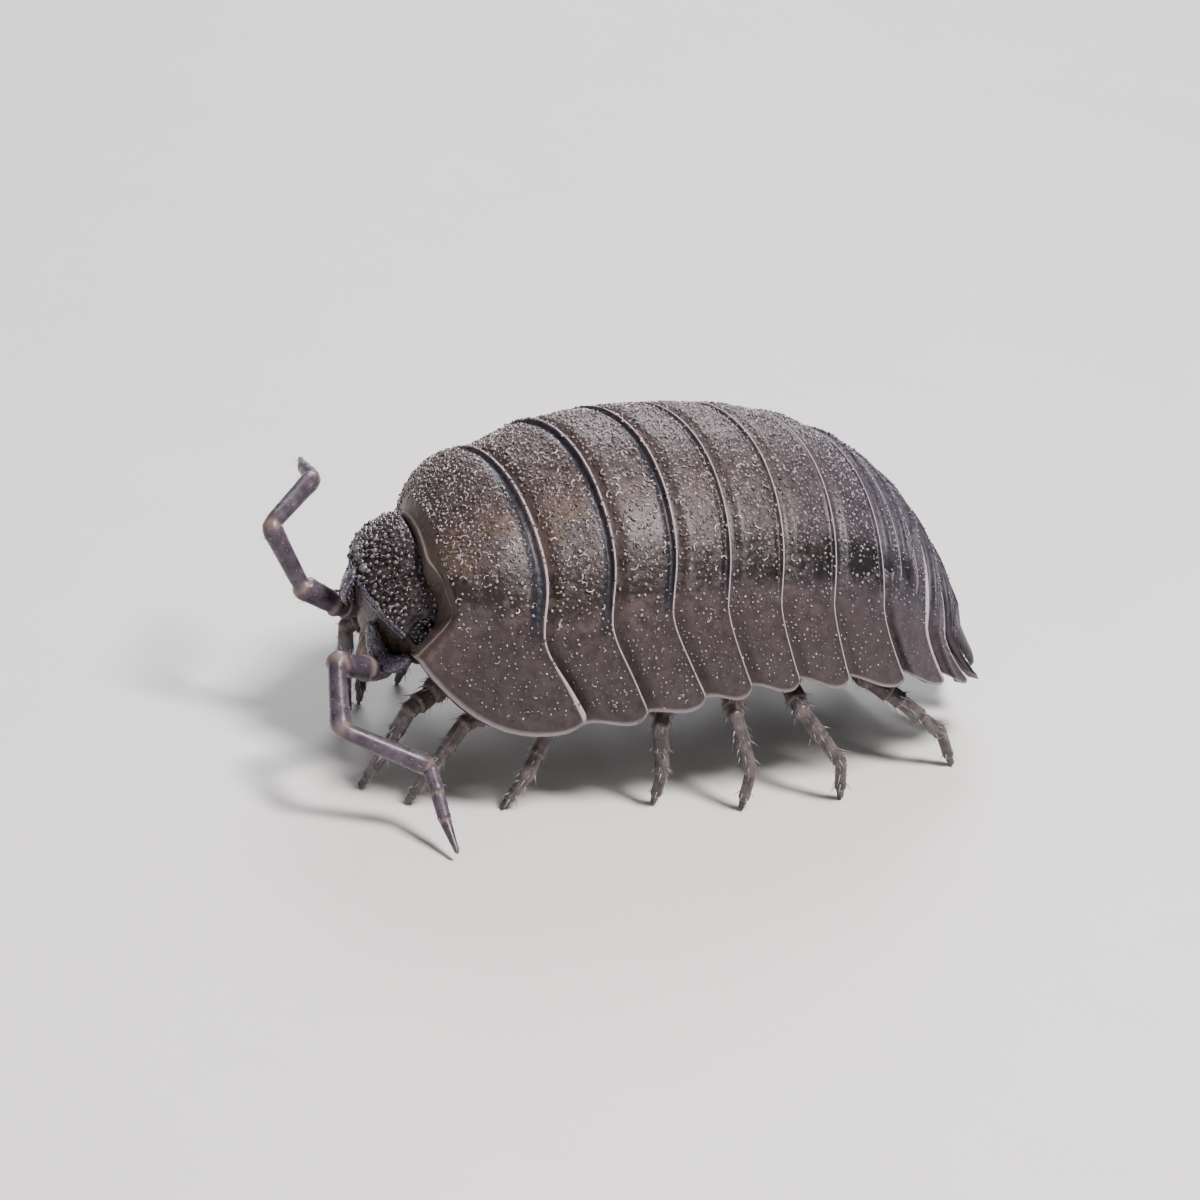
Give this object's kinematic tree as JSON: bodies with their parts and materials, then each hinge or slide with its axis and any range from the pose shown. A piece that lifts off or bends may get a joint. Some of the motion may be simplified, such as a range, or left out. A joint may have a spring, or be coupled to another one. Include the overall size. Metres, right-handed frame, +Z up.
{
  "type": "pill woodlouse",
  "caption": "Life-size pill woodlouse standing on its feet, with a domed, granulated shell of overlapping plates, elbowed feelers, black eyes and bristly legs.",
  "frame": {"origin": "centre of the bounding box in X and Y, at floor height, under the belly", "axes": "+Z up, the tail toward +Y and the head toward -Y, the animal's left side toward +X"},
  "size_m": [0.0108, 0.0182, 0.0079],
  "materials": {
    "shell": "granulated, half-clear, softly glossy shell in lavender grey",
    "tail_shell": "granulated, half-clear shell in blue grey",
    "head_shell": "densely granulated dark grey shell",
    "limb": "half-clear lavender with small bristles",
    "eye": "glossy black lenses",
    "mouth": "soft brown"
  },
  "bodies": {
    "root": {"pereonite_1": "shell", "pereonite_2": "shell", "pereonite_3": "shell", "pereonite_4": "shell", "pereonite_5": "shell", "pereonite_6": "shell", "pereonite_7": "shell", "pleonite_1": "tail_shell", "pleonite_2": "tail_shell", "pleonite_3": "tail_shell", "pleonite_4": "tail_shell", "pleonite_5": "tail_shell", "telson": "tail_shell", "uropod_left": "tail_shell", "uropod_right": "tail_shell", "head": "head_shell", "eye_left": "eye", "eye_right": "eye", "mouthparts": "mouth", "antenna_left_base": "limb", "antenna_left_article_4": "limb", "antenna_left_article_5": "limb", "antenna_left_flagellum": "limb", "antenna_right_base": "limb", "antenna_right_article_4": "limb", "antenna_right_article_5": "limb", "antenna_right_flagellum": "limb", "leg_left_1": "limb", "leg_left_2": "limb", "leg_left_3": "limb", "leg_left_4": "limb", "leg_left_5": "limb", "leg_left_6": "limb", "leg_left_7": "limb", "leg_right_1": "limb", "leg_right_2": "limb", "leg_right_3": "limb", "leg_right_4": "limb", "leg_right_5": "limb", "leg_right_6": "limb", "leg_right_7": "limb"}
  },
  "joints": []
}
